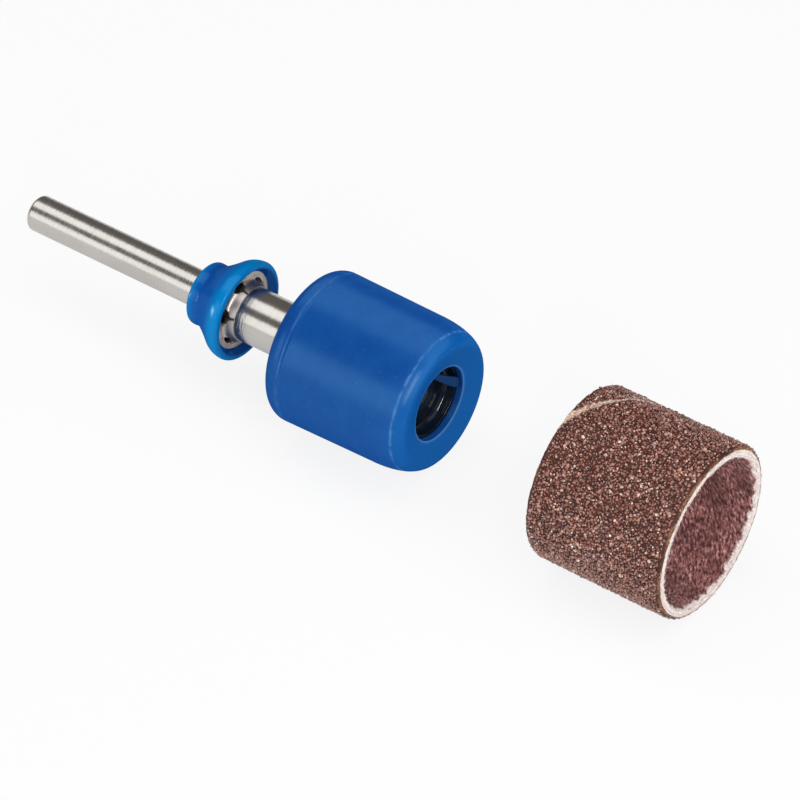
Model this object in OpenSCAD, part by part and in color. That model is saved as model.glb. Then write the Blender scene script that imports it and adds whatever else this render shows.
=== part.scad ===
// Quick-change sanding drum for a hand-held rotary tool, with its abrasive band taken off.
// Everything is turned about the X axis: the shank starts at X = 0 and the band lies ahead on the same axis.
// Outlines are lists of [radius, distance along X].

/* [Shank] */
// Diameter of the shank that the tool's collet holds
shank_d = 3.175; // [2.8:0.005:4]
// Length of the shank behind the pull collar
shank_l = 18; // [12:0.5:30]
// Chamfer on the shank's rear end
shank_chamfer = 0.3; // [0.1:0.05:0.6]
// Diameter of the turned-down guide that the sleeve slides on
guide_d = 2.7; // [2.2:0.05:2.8]

/* [Sleeve] */
// Outer diameter of the sleeve
sleeve_d = 4.76; // [3.9:0.01:6]
// Distance from the pull collar's front edge to the drum's rear face
finger_gap = 6.23; // [4:0.01:12]
// How far the flange on the sleeve's rear end stands out from the sleeve
flange_step = 0.82; // [0.7:0.02:1.4]
// Thickness of that flange
flange_t = 0.85; // [0.5:0.05:1.4]

/* [Star washer] */
// How far the washer's edge stands out from the flange, to bear on the collar
washer_seat = 0.32; // [0.2:0.02:0.6]
// Thickness of the washer's spring steel
washer_t = 0.3; // [0.2:0.02:0.4]
// Number of fingers that grip the sleeve
finger_count = 6; // [4:1:8]
// Width of the notch between two fingers
notch_w = 1; // [0.6:0.05:1.2]

/* [Pull collar] */
// Width of the collar's rolled rim outside the washer
rim_w = 0.89; // [0.8:0.01:1.6]
// How far the washer lies behind the collar's front edge
washer_recess = 0.55; // [0.4:0.01:0.8]
// Wall of the collar's neck round the shank
neck_wall = 1.12; // [0.7:0.02:1.6]
// Distance that the collar is pulled back to stretch the drum
pull_travel = 2.75; // [2:0.05:4]

/* [Drum] */
// Diameter of the relaxed drum near its rear end
drum_rear_d = 13.34; // [12.8:0.02:18]
// Diameter of the relaxed drum where the front shoulder starts
drum_front_d = 13.04; // [12.8:0.02:18]
// Length of the relaxed drum
drum_l = 13.7; // [13:0.1:20]
// Radius of the drum's rear edge
drum_rear_edge = 1.25; // [0.4:0.05:1.5]
// Length of the long front shoulder along the axis
shoulder_l = 3.7; // [2:0.1:5]
// Drop of that shoulder towards the axis
shoulder_drop = 1.25; // [0.6:0.05:1.5]
// Diameter of the hole in the drum's front face
mouth_d = 6.54; // [5:0.02:7.4]
// How far the hole's rim lies behind the crest of the front face
dish = 0.5; // [0.2:0.05:0.8]
// Depth of the blue wall of the hole, from its rim to the hub's cup
mouth_depth = 0.65; // [0.55:0.05:1]
// Thickness of the web of rubber across the hole
web_t = 0.35; // [0.2:0.05:0.5]

/* [Hubs] */
// Thickness of the rubber outside the hubs' anchor flanges
anchor_cover = 1.85; // [1.4:0.05:2.2]
// Thickness of both anchor flanges
anchor_t = 1.2; // [0.8:0.1:1.6]
// Width of the ledge that the cup shows inside the hole
cup_ledge = 0.22; // [0.1:0.02:0.4]
// Depth of the cup in the front hub
cup_depth = 1; // [0.6:0.05:1.4]

/* [Abrasive band] */
// Bore of the band, a half-inch nominal size
band_bore_d = 12.7; // [12.2:0.05:16]
// Length of the band
band_l = 12.7; // [10:0.1:19]
// Thickness of the cloth liner
liner_t = 0.55; // [0.3:0.05:1]
// Thickness of the abrasive cloth with its grit
abrasive_t = 0.64; // [0.4:0.02:1]
// Distance from the drum's front crest to the band, while it is off
band_off = 12.95; // [4:0.05:30]

/* [Hidden] */
$fn = 96;

// clearances, and the thin lines at moulded and bonded joints
slide_gap = 0.03;      // sleeve on its guide, and fingers on the sleeve, all round
neck_gap = 0.07;       // collar's neck round the shank
part_gap = 0.02;       // between pieces assembled or moulded face to face
bond_gap = 0.03;       // between the rubber and its hubs
stop_gap = 0.05;       // left between the sleeve and the shank's shoulder at full travel

// hubs
floor_t = 0.7;             // floor of the cup, ahead of the pin's end
front_spigot_l = 2.5;
front_spigot_wall = 1.25;
cup_grip = 0.48;           // how far the cup's wall reaches under the rubber
rear_recess = 0.4;         // rear hub behind the drum's rear face
rear_boss_l = 0.85;
rear_boss_wall = 0.87;
rear_spigot_l = 2.2;
rear_spigot_wall = 0.72;
hollow_lip = 0.3;          // rubber that covers the end of the front spigot

// ring grooves that lock the moulded hubs
groove_depth = 0.22;
groove_l = 0.9;
pin_groove_in = 1.3;       // from the front hub's rear end
sleeve_groove_in = 0.6;    // from the start of the rear spigot

// star washer
finger_rise = 0.58;
finger_width = 0.55;       // how far a finger's root lies outside the sleeve
notch_in = 0.22;           // how far a notch's centre lies outside the sleeve
first_notch_angle = 40;

// web of rubber across the drum's hole: its place and its two widths
web_offset = 1.6;
web_narrow = 0.42;
web_wide = 1.05;
web_root = 0.2;

// radii
shank_r = shank_d / 2;
guide_r = guide_d / 2;
sleeve_r = sleeve_d / 2;
flange_r = sleeve_r + flange_step;
washer_r = flange_r + washer_seat;
rim_r = washer_r + rim_w;
neck_r = shank_r + neck_gap + neck_wall;
mouth_r = mouth_d / 2;
cup_r = mouth_r - cup_ledge;
cup_wall_r = mouth_r + cup_grip;
drum_rear_r = drum_rear_d / 2;
drum_front_r = drum_front_d / 2;
front_anchor_r = drum_front_r - anchor_cover;
front_spigot_r = guide_r + front_spigot_wall;
rear_anchor_r = drum_rear_r - anchor_cover;
rear_boss_r = sleeve_r + rear_boss_wall;
rear_spigot_r = sleeve_r + rear_spigot_wall;
band_r = band_bore_d / 2;
liner_r = band_r + liner_t;
abrasive_r = liner_r + part_gap;

// places along X, from the shank's rear end
collar_x = shank_l + stop_gap;
flange_x = shank_l + stop_gap + pull_travel;
flange_front_x = flange_x + flange_t;
washer_x = flange_front_x + part_gap;
washer_front_x = washer_x + washer_t;
collar_front_x = washer_front_x + washer_recess;
drum_x = collar_front_x + finger_gap;
crest_x = drum_x + drum_l;
mouth_x = crest_x - dish;
cup_x = mouth_x - mouth_depth;
cup_floor_x = cup_x - cup_depth;
pin_end_x = cup_floor_x - floor_t;
front_anchor_x = pin_end_x - anchor_t;
front_hub_x = front_anchor_x - front_spigot_l;
pin_groove_x = front_hub_x + pin_groove_in;
rear_hub_x = drum_x + rear_recess;
rear_anchor_x = rear_hub_x + rear_boss_l;
rear_spigot_x = rear_anchor_x + anchor_t;
sleeve_end_x = rear_spigot_x + rear_spigot_l;
sleeve_groove_x = rear_spigot_x + sleeve_groove_in;
band_x = crest_x + band_off;

steel = [0.76, 0.76, 0.77];
spring_steel = [0.62, 0.60, 0.59];
bright_blue = [0.0, 0.40, 0.78];
rubber_blue = [0.07, 0.30, 0.65];
black_nylon = [0.05, 0.06, 0.07];
maroon_cloth = [0.45, 0.24, 0.25];
brown_grit = [0.43, 0.28, 0.24];

// points along an ellipse, from one angle to another
function arc(centre, radii, from, to, steps = 8) = [
    for (i = [0:steps])
        let (a = from + (to - from) * i / steps)
            [centre[0] + radii[0] * cos(a), centre[1] + radii[1] * sin(a)]
];

// points of the collar's flare, which widens faster and faster from the waist to the rim
function flare(from, to, steps = 8) = [
    for (i = [0:steps - 1])
        let (u = i / steps)
            [from[0] + (to[0] - from[0]) * pow(u, 1.25), from[1] + (to[1] - from[1]) * u]
];

// a solid of revolution about the X axis
module turned(outline) {
    rotate([0, 90, 0]) rotate_extrude() polygon(outline);
}

// a plain tube along X
module tube(x, length, inner_r, outer_r) {
    translate([x, 0, 0]) rotate([0, 90, 0]) difference() {
        cylinder(r = outer_r, h = length);
        translate([0, 0, -1]) cylinder(r = inner_r, h = length + 2);
    }
}

// steel pin: shank, shoulder that stops the sleeve, guide, and a grooved end in the front hub
module shank_pin() {
    color(steel) turned([
        [0, 0],
        [shank_r - shank_chamfer, 0],
        [shank_r, shank_chamfer],
        [shank_r, shank_l],
        [guide_r, shank_l],
        [guide_r, pin_groove_x],
        [guide_r - groove_depth, pin_groove_x],
        [guide_r - groove_depth, pin_groove_x + groove_l],
        [guide_r, pin_groove_x + groove_l],
        [guide_r, pin_end_x],
        [0, pin_end_x]
    ]);
}

// black hub moulded on the pin's front end, with an anchor flange and a shallow cup
module front_hub() {
    bore_r = guide_r + part_gap;
    cup_fillet = 0.3;
    color(black_nylon) turned(concat(
        [
            [bore_r, front_hub_x],
            [front_spigot_r, front_hub_x],
            [front_spigot_r, front_anchor_x],
            [front_anchor_r, front_anchor_x],
            [front_anchor_r, front_anchor_x + anchor_t],
            [cup_wall_r, front_anchor_x + anchor_t],
            [cup_wall_r, cup_x],
            [cup_r, cup_x]
        ],
        arc([cup_r - cup_fillet, cup_floor_x + cup_fillet], [cup_fillet, cup_fillet], 0, -90),
        [
            [0, cup_floor_x],
            [0, pin_end_x + part_gap],
            [bore_r, pin_end_x + part_gap],
            [bore_r, pin_groove_x + groove_l - part_gap],
            [bore_r - groove_depth, pin_groove_x + groove_l - part_gap],
            [bore_r - groove_depth, pin_groove_x + part_gap],
            [bore_r, pin_groove_x + part_gap]
        ]
    ));
}

// strip of rubber left across the hole, level with the bottom of its blue wall
module mouth_web() {
    reach = mouth_r + web_root;
    translate([cup_x + bond_gap, 0, 0]) intersection() {
        rotate([0, 90, 0]) cylinder(r = reach, h = web_t);
        rotate([-45, 0, 0]) rotate([90, 0, 90]) linear_extrude(height = web_t)
            polygon([
                [-reach, web_offset],
                [reach, web_offset],
                [reach, web_offset + web_wide],
                [-reach, web_offset + web_narrow]
            ]);
    }
}

// rubber drum, moulded round both hubs, with a free space between them
module drum() {
    color(rubber_blue) union() {
        turned(concat(
            [[rear_boss_r + bond_gap, drum_x]],
            arc([drum_rear_r - drum_rear_edge, drum_x + drum_rear_edge],
                [drum_rear_edge, drum_rear_edge], -90, 0),
            arc([drum_front_r - shoulder_drop, crest_x - shoulder_l],
                [shoulder_drop, shoulder_l], 0, 90, 14),
            [
                [mouth_r, mouth_x],
                [mouth_r, cup_x + bond_gap],
                [cup_wall_r + bond_gap, cup_x + bond_gap],
                [cup_wall_r + bond_gap, front_anchor_x + anchor_t + bond_gap],
                [front_anchor_r + bond_gap, front_anchor_x + anchor_t + bond_gap],
                [front_anchor_r + bond_gap, front_anchor_x - bond_gap],
                [front_spigot_r + bond_gap, front_anchor_x - bond_gap],
                [front_spigot_r + bond_gap, front_hub_x - hollow_lip],
                [rear_spigot_r + bond_gap, front_hub_x - hollow_lip],
                [rear_spigot_r + bond_gap, rear_spigot_x + bond_gap],
                [rear_anchor_r + bond_gap, rear_spigot_x + bond_gap],
                [rear_anchor_r + bond_gap, rear_anchor_x - bond_gap],
                [rear_boss_r + bond_gap, rear_anchor_x - bond_gap]
            ]
        ));
        mouth_web();
    }
}

// steel sleeve that slides on the guide, with a flange for the collar and a groove for the hub
module sleeve() {
    bore_r = guide_r + slide_gap;
    color(steel) turned([
        [bore_r, flange_x],
        [flange_r, flange_x],
        [flange_r, flange_front_x],
        [sleeve_r, flange_front_x],
        [sleeve_r, sleeve_groove_x],
        [sleeve_r - groove_depth, sleeve_groove_x],
        [sleeve_r - groove_depth, sleeve_groove_x + groove_l],
        [sleeve_r, sleeve_groove_x + groove_l],
        [sleeve_r, sleeve_end_x],
        [bore_r, sleeve_end_x]
    ]);
}

// black hub moulded on the sleeve's front end, which pulls the drum's rear end back
module rear_hub() {
    bore_r = sleeve_r + part_gap;
    color(black_nylon) turned([
        [bore_r, rear_hub_x],
        [rear_boss_r, rear_hub_x],
        [rear_boss_r, rear_anchor_x],
        [rear_anchor_r, rear_anchor_x],
        [rear_anchor_r, rear_spigot_x],
        [rear_spigot_r, rear_spigot_x],
        [rear_spigot_r, sleeve_end_x],
        [bore_r, sleeve_end_x],
        [bore_r, sleeve_groove_x + groove_l - part_gap],
        [bore_r - groove_depth, sleeve_groove_x + groove_l - part_gap],
        [bore_r - groove_depth, sleeve_groove_x + part_gap],
        [bore_r, sleeve_groove_x + part_gap]
    ]);
}

// bell-shaped collar that the fingertips pull back; the sleeve's flange and the washer sit in its mouth
module pull_collar() {
    rear_edge = 0.35;
    neck_l = 0.75;
    waist_l = 0.2;
    waist_drop = 0.08;
    bead_r = 0.5;
    bead_l = 1.3;
    bead_start = 40;
    lip_r = washer_r - 0.06;
    lip_chamfer = 0.25;
    bore_r = shank_r + neck_gap;
    bead = arc([rim_r - bead_r, collar_front_x - bead_l + bead_r], [bead_r, bead_r], -bead_start, 0, 4);
    color(bright_blue) turned(concat(
        [[bore_r, collar_x]],
        arc([neck_r - rear_edge, collar_x + rear_edge], [rear_edge, rear_edge], -90, 0, 5),
        [[neck_r, collar_x + neck_l]],
        flare([neck_r - waist_drop, collar_x + neck_l + waist_l], bead[0]),
        bead,
        arc([rim_r - bead_r, collar_front_x - bead_r], [bead_r, bead_r], 0, 90, 6),
        [
            [lip_r + 1.5 * lip_chamfer, collar_front_x],
            [lip_r, collar_front_x - lip_chamfer],
            [lip_r, washer_front_x + part_gap],
            [washer_r + part_gap, washer_front_x + part_gap],
            [washer_r + part_gap, flange_front_x],
            [flange_r + part_gap, flange_front_x],
            [flange_r + part_gap, flange_x - part_gap],
            [bore_r, flange_x - part_gap]
        ]
    ));
}

// spring-steel washer that traps the flange in the collar; its fingers bend forward along the sleeve
module star_washer() {
    tip_r = sleeve_r + slide_gap;
    tip_t = 0.2;
    tip_bevel = 0.06;
    tip_x = washer_front_x + finger_rise;
    root_r = sleeve_r + finger_width;
    root_bend = 0.1;
    color(spring_steel) difference() {
        turned([
            [washer_r, washer_x],
            [root_r - root_bend, washer_x],
            [tip_r, tip_x - washer_t],
            [tip_r, tip_x],
            [tip_r + tip_t, tip_x - tip_bevel],
            [root_r, washer_front_x],
            [washer_r, washer_front_x]
        ]);
        for (i = [0:finger_count - 1])
            rotate([first_notch_angle + i * 360 / finger_count, 0, 0])
                translate([washer_x - 1, sleeve_r + notch_in, 0])
                    rotate([0, 90, 0]) cylinder(d = notch_w, h = 3);
    }
}

// inner ply of the band: a strip of cloth wound into a tube
module band_liner() {
    color(maroon_cloth) tube(band_x, band_l, band_r, liner_r);
}

// outer ply of the band: abrasive cloth wound in a helix over the liner
module band_abrasive() {
    color(brown_grit) tube(band_x, band_l, abrasive_r, abrasive_r + abrasive_t);
}

shank_pin();
front_hub();
drum();
sleeve();
rear_hub();
pull_collar();
star_washer();
band_liner();
band_abrasive();
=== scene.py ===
# %% [markdown]
# # A quick-change sanding drum, with its abrasive band taken off
# This lesson dresses a packed mechanical model. The model brings a shank, a sliding sleeve with its pull
# collar and star washer, a rubber drum on two hidden hubs, and a loose abrasive band. Each visible piece is
# worked out again here as a finer surface, in the same place and, all but the drum, on the same moving body,
# and each finish is built from shader nodes at its real scale in millimetres.
#
# The pieces could also be modelled by hand, from cylinders and modifiers. Worked out as arrays they stay
# exact, each size has a name, and they follow the imported model when it changes.

# %% Load the frame
import math

import bpy
import numpy as np
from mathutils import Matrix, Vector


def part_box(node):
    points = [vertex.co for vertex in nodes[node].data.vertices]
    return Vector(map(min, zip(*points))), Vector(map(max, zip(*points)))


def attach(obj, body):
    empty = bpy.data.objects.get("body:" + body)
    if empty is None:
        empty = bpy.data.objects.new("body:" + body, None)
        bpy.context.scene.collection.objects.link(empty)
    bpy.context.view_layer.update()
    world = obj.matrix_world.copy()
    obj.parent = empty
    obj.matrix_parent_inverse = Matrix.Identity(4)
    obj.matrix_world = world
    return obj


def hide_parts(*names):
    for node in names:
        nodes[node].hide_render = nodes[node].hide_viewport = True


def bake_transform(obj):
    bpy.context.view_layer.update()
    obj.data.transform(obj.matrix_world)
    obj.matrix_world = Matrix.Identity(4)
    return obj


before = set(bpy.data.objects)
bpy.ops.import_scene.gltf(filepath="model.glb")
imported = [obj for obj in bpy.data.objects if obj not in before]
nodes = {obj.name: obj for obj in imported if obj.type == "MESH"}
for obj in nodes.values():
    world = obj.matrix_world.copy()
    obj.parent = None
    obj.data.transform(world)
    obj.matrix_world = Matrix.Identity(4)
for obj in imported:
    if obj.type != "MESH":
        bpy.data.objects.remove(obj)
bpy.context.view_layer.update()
MM = 0.001

# %% [markdown]
# ## Where things are
# The whole object is turned about the X axis, so a place is a distance along X and a radius. The places
# could be typed in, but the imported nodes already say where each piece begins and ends, so they are read
# from there, in millimetres, and everything below is measured from them.

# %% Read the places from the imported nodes
def span(name):
    """First and last X of a node and its greatest radius, in millimetres."""
    low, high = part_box(name)
    return low[0] / MM, high[0] / MM, -low[2] / MM


SHANK_START, PIN_END, SHANK_R = span("shank_pin")
COLLAR_START, COLLAR_END, COLLAR_R = span("pull_collar")
WASHER_START, _, WASHER_R = span("star_washer")
SLEEVE_START, SLEEVE_END, FLANGE_R = span("sleeve")
DRUM_START, DRUM_END, DRUM_R = span("drum")
HUB_START, CUP_RIM, _ = span("front_hub")
BAND_START, BAND_END, BAND_R = span("band_abrasive")
LINER_R = span("band_liner")[2]
print(f"shank from {SHANK_START:.2f}, drum {DRUM_START:.2f} to {DRUM_END:.2f}, band to {BAND_END:.2f} mm")

# %% [markdown]
# ## Surfaces from arrays
# Every new surface is a grid of points: one direction runs along an outline, the other round the axis.
# Blender's Screw modifier could turn an outline too, but it can't change the outline on the way round, as
# the washer and the cloth need. So numpy works out all the points at once, and one function turns the grid
# into a mesh.

# %% Turn arrays into a mesh
def mesh_from(name, points, quads, triangles, smooth=True):
    """Mesh from an array of points in metres and two arrays of corner numbers."""
    mesh = bpy.data.meshes.new(name)
    corners = np.concatenate([quads.ravel(), triangles.ravel()]).astype(np.int32)
    starts = np.concatenate([np.arange(len(quads)) * 4, len(quads) * 4 + np.arange(len(triangles)) * 3])
    mesh.vertices.add(len(points))
    mesh.loops.add(len(corners))
    mesh.polygons.add(len(starts))
    mesh.vertices.foreach_set("co", points.astype(np.float32).ravel())
    mesh.loops.foreach_set("vertex_index", corners)
    mesh.polygons.foreach_set("loop_start", starts.astype(np.int32))
    mesh.polygons.foreach_set("use_smooth", np.full(len(starts), smooth))
    mesh.update(calc_edges=True)
    piece = bpy.data.objects.new(name, mesh)
    bpy.context.scene.collection.objects.link(piece)
    return piece


def store(piece, key, value):
    """Keeps one number or one vector for each point of a piece, for its finish to read."""
    kind, field = ("FLOAT", "value") if value.shape[1] == 1 else ("FLOAT_VECTOR", "vector")
    if value.shape[1] == 2:
        value = np.column_stack([value, np.zeros(len(value))])
    layer = piece.data.attributes.new(key, kind, "POINT")
    layer.data.foreach_set(field, value.astype(np.float32).ravel())


# %% [markdown]
# A grid has to become a closed skin whose faces point outwards. The skin closes round the axis, and along
# the outline too where it is a ring; otherwise its first and last rows shrink to one point each, a pole.
# Blender could recalculate the normals afterwards. The sign of the enclosed volume tells the same thing
# at once, so it is used instead.

# %% Close a grid into a skin
def volume(points, triangles):
    """Signed volume of a closed mesh: a sixth of the sum of a . (b x c) over its triangles."""
    a, b, c = (points[triangles[:, k]] for k in range(3))
    return np.einsum("ij,ij->i", a, np.cross(b, c)).sum() / 6


def skin(name, grid, round_along=True, attributes=None):
    """Closed mesh over a grid (rows along the outline, columns round the axis), in millimetres."""
    rows, columns = grid.shape[:2]
    number = np.arange(rows * columns).reshape(rows, columns)
    if not round_along:
        number[0], number[-1] = number[0, 0], number[-1, 0]
    up = number[1:] if not round_along else np.roll(number, -1, 0)
    low = number[:-1] if not round_along else number
    quads = np.stack([low, np.roll(low, -1, 1), np.roll(up, -1, 1), up], -1).reshape(-1, 4)
    pole_start, pole_end = quads[:, 0] == quads[:, 1], quads[:, 2] == quads[:, 3]
    triangles = np.concatenate([quads[pole_start][:, [0, 2, 3]], quads[pole_end][:, [0, 1, 2]]])
    quads = quads[~pole_start & ~pole_end]
    used, back = np.unique(np.concatenate([quads.ravel(), triangles.ravel()]), return_inverse=True)
    points = grid.reshape(-1, 3)[used] * MM
    quads, triangles = back[: quads.size].reshape(-1, 4), back[quads.size :].reshape(-1, 3)
    thirds = np.concatenate([quads[:, [0, 1, 2]], quads[:, [0, 2, 3]], triangles])
    if volume(points, thirds) < 0:
        quads, triangles = quads[:, ::-1], triangles[:, ::-1]
    piece = mesh_from(name, points, quads, triangles)
    for key, value in (attributes or {}).items():
        store(piece, key, value.reshape(rows * columns, -1)[used])
    print(f"{name}: {len(thirds)} triangles, {abs(volume(points, thirds)) / MM**3:.1f} mm3")
    return piece


def turn(x, r, angle):
    """Points at distance x along the axis and radius r, at an angle from +Y towards +Z."""
    x, r, angle = np.broadcast_arrays(x, r, angle)
    return np.stack([x, r * np.cos(angle), r * np.sin(angle)], -1)


def around(steps):
    """Evenly spaced angles round the axis."""
    return np.arange(steps) * 2 * math.pi / steps


# %% [markdown]
# ## Outlines with eased corners
# No real edge is perfectly sharp, and an eased edge catches a thin line of light. A Bevel modifier could
# ease all edges alike; here each corner is listed with a small radius of its own and becomes a short arc.
# Just outside each arc a support point keeps the flat parts flat when the mesh is shaded smooth.

# %% Ease the corners of an outline
def eased(corners, closed=True, arc_steps=5, support=0.6):
    """Outline of (x, radius) points: each corner (x, radius, ease) is cut back by ease along both sides and
    joined by a quadratic arc, p = (1-t)^2 a + 2t(1-t) corner + t^2 b. No cut passes 0.45 of its side, and
    no support point 0.48."""
    corners = np.array(corners, float)
    out = []
    for k, (x, r, ease) in enumerate(corners):
        if not closed and k in (0, len(corners) - 1) or ease == 0:
            out.append([[x, r]])
            continue
        here = np.array([x, r])
        ways = [corners[k - 1, :2] - here, corners[(k + 1) % len(corners), :2] - here]
        lengths = [np.hypot(*w) for w in ways]
        cuts = [min(ease, 0.45 * length) for length in lengths]
        a, b = (here + w / length * cut for w, length, cut in zip(ways, lengths, cuts))
        extra = [here + w / length * min(cut * (1 + support), 0.48 * length)
                 for w, length, cut in zip(ways, lengths, cuts)]
        t = np.linspace(0, 1, arc_steps)[:, None]
        arc = (1 - t) ** 2 * a + 2 * t * (1 - t) * here + t**2 * b
        out.append(np.vstack([extra[0], arc, extra[1]]))
    return np.vstack(out)


def bow(centre, radii, start, end, steps):
    """Points of an ellipse between two angles, in degrees from +radius towards +x; none has an ease."""
    t = np.radians(np.linspace(start, end, steps))
    return np.column_stack([centre[0] + radii[0] * np.sin(t), centre[1] + radii[1] * np.cos(t), 0 * t])


def lathe(name, outline, steps=192, round_along=True, attributes=None):
    """Solid of revolution: each outline point (x, radius) is carried round the axis."""
    grid = turn(outline[:, :1], outline[:, 1:2], around(steps)[None, :])
    spread = {k: np.repeat(v[:, None], steps, 1) for k, v in (attributes or {}).items()}
    return skin(name, grid, round_along, spread)


# %% [markdown]
# ## Finishes from nodes
# Colours are written as sRGB hex values, as a paint chart would give them, and one function turns them into
# the linear values that the shader works in. One function adds any node, with its settings and its links.
# Two more make things that come back in several finishes: a random pattern whose patches have a real size,
# and an even gloss. Painted images could do all this too, but they would blur in close views.

# %% Colour and node helpers
COLOUR = {"out": 2, "data_type": "RGBA"}  # a Mix node of colours: input 0 is the share, 6 and 7 the colours


def paint(code):
    """sRGB hex to linear: c/12.92 below 0.04045, else ((c+0.055)/1.055)^2.4."""
    c = np.array([int(code[k : k + 2], 16) / 255 for k in (0, 2, 4)])
    linear = np.where(c <= 0.04045, c / 12.92, ((c + 0.055) / 1.055) ** 2.4)
    return (*map(float, linear), 1.0)


def add(tree, kind, inputs=(), out=0, **settings):
    """Adds a node and gives back one output, or the node itself where out is None. The inputs are a list in
    the order of its sockets, or a dictionary; each is linked if it is a socket, otherwise typed in."""
    made = tree.nodes.new("ShaderNode" + kind)
    for key, value in settings.items():
        setattr(made, key, value)
    for key, value in inputs.items() if isinstance(inputs, dict) else enumerate(inputs):
        if isinstance(value, bpy.types.NodeSocket):
            tree.links.new(value, made.inputs[key])
        else:
            made.inputs[key].default_value = value
    return made if out is None else made.outputs[out]


def blank_finish(name):
    """A new material without nodes, and its node tree."""
    material = bpy.data.materials.new(name)
    material.use_nodes = True
    material.node_tree.nodes.clear()
    return material, material.node_tree


def patches(tree, across, along=None, detail=2.0, roughness=0.5):
    """Random pattern, 0 to 1, with patches `across` millimetres wide in Y and Z and `along` long in X."""
    scale = (1000 / (along or across), 1000 / across, 1000 / across)
    coordinates = add(tree, "TexCoord", out="Object")
    where = add(tree, "Mapping", {"Vector": coordinates, "Scale": scale})
    return add(tree, "TexNoise", {"Vector": where, "Scale": 1.0, "Detail": detail, "Roughness": roughness})


def even_gloss(tree, base, share, tint, roughness, normal):
    """The same share of gloss at every angle, over a base shader. A clean surface shines more at a glance,
    but a waxy or finely pitted skin scatters that extra shine."""
    gloss = add(tree, "BsdfAnisotropic", {"Color": tint, "Roughness": roughness, "Normal": normal})
    return add(tree, "MixShader", [share, base, gloss])


# %% [markdown]
# ## Ground steel: shank and sleeve
# The shank and the sleeve are bright carbon steel, centreless ground. Grinding leaves very fine marks round
# the bar, so a reflection stays sharp across the bar and is slightly ragged along it. An anisotropic gloss
# could stretch the reflections without any marks, but then their edges would be smooth; a bump pattern
# makes them ragged. The real marks are a few hundredths of a millimetre apart; they are drawn here at
# 0.16 mm, as coarse as they need to show.

# %% Finish: ground steel
def ground_steel(name, colour, ragged, roughness):
    """Bright ground steel with grinding marks `ragged` millimetres deep. To the eye: long light and dark
    bands with ragged edges, a few duller scuffs along the bar, and a slight cloud in the tone."""
    material, tree = blank_finish(name)
    marks = patches(tree, 0.9, 0.16, detail=3.0, roughness=0.6)
    scuffs = patches(tree, 0.35, 5.0)
    cloud = add(tree, "MapRange", [patches(tree, 2.5, 6.0), 0.35, 0.65])
    tone = add(tree, "Mix", {0: cloud, 6: paint(colour), 7: paint("C6C3BE")}, **COLOUR)
    rough_marks = add(tree, "MapRange", [marks, 0.3, 0.7, roughness, roughness + 0.1])
    rough_scuffs = add(tree, "MapRange", [scuffs, 0.6, 0.75, 0.0, 0.08])
    rough = add(tree, "Math", [rough_marks, rough_scuffs], operation="ADD")
    normal = add(tree, "Bump", {"Height": marks, "Distance": ragged * MM})
    shader = add(tree, "BsdfPrincipled", {
        "Base Color": tone, "Metallic": 1.0, "Roughness": rough, "Normal": normal})
    add(tree, "OutputMaterial", [shader], out=None)
    return material


shank_finish = ground_steel("steel, centreless ground", "BEBAB4", 0.016, 0.2)
sleeve_finish = ground_steel("steel, turned and polished", "C0BCB6", 0.02, 0.16)
print("steel finishes:", shank_finish.name, "/", sleeve_finish.name)

# %% [markdown]
# ## The shank
# The shank is one turned pin. Behind the collar it is the plain 3.2 mm shank that the tool's collet grips,
# with a chamfer at its end. Ahead of its shoulder it is a thinner guide for the sleeve, and a groove near
# the front end is where the moulded hub locks on. Stacked cylinders would need joining; one outline with
# eased corners, carried round, gives it all as one skin.

# %% Make the shank
CHAMFER, GUIDE_R = 0.3, 1.35
GROOVE_BACK, GROOVE_FRONT, GROOVE_DEEP = HUB_START + 1.3, HUB_START + 2.2, 0.22
shoulder_x = COLLAR_START - 0.05
pin_outline = eased([
    (SHANK_START, 0, 0), (SHANK_START, SHANK_R - CHAMFER, 0.16), (SHANK_START + CHAMFER, SHANK_R, 0.16),
    (shoulder_x, SHANK_R, 0.06), (shoulder_x, GUIDE_R, 0.05),
    (GROOVE_BACK, GUIDE_R, 0.04), (GROOVE_BACK, GUIDE_R - GROOVE_DEEP, 0.04),
    (GROOVE_FRONT, GUIDE_R - GROOVE_DEEP, 0.04), (GROOVE_FRONT, GUIDE_R, 0.04),
    (PIN_END, GUIDE_R, 0.1), (PIN_END, 0, 0)], closed=False)
shank = lathe("shank_turned_pin", pin_outline, steps=128, round_along=False)
shank.data.materials.append(shank_finish)
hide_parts("shank_pin")
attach(shank, "mandrel")

# %% [markdown]
# ## The sleeve
# The sleeve is a short tube of the same steel that slides on the guide. Its rear end has a flange, which
# the collar takes hold of, and its front end is locked in the rear hub inside the drum. The flange is cut
# back behind the washer's notches, so that they look deep and dark. It is carried round like the shank,
# but its outline is a closed ring, because a tube has a bore.

# %% Make the sleeve
SLEEVE_R, SLIDE_GAP, PART_GAP, RELIEF = 2.38, 0.03, 0.02, 0.5
sleeve_bore = GUIDE_R + SLIDE_GAP
flange_face, relief_x = WASHER_START - PART_GAP, WASHER_START - RELIEF
lock_back, lock_front = SLEEVE_END - 1.6, SLEEVE_END - 0.7
sleeve_outline = eased([
    (SLEEVE_START, sleeve_bore, 0.06), (SLEEVE_START, FLANGE_R, 0.08), (flange_face, FLANGE_R, 0.03),
    (flange_face, FLANGE_R - 0.02, 0.01), (relief_x, FLANGE_R - 0.05, 0.03),
    (relief_x, SLEEVE_R, 0.05), (lock_back, SLEEVE_R, 0.04),
    (lock_back, SLEEVE_R - GROOVE_DEEP, 0.04), (lock_front, SLEEVE_R - GROOVE_DEEP, 0.04),
    (lock_front, SLEEVE_R, 0.04), (SLEEVE_END, SLEEVE_R, 0.08), (SLEEVE_END, sleeve_bore, 0.06)])
sleeve = lathe("sleeve_polished_tube", sleeve_outline, steps=160)
sleeve.data.materials.append(sleeve_finish)
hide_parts("sleeve")
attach(sleeve, "puller")

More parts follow.
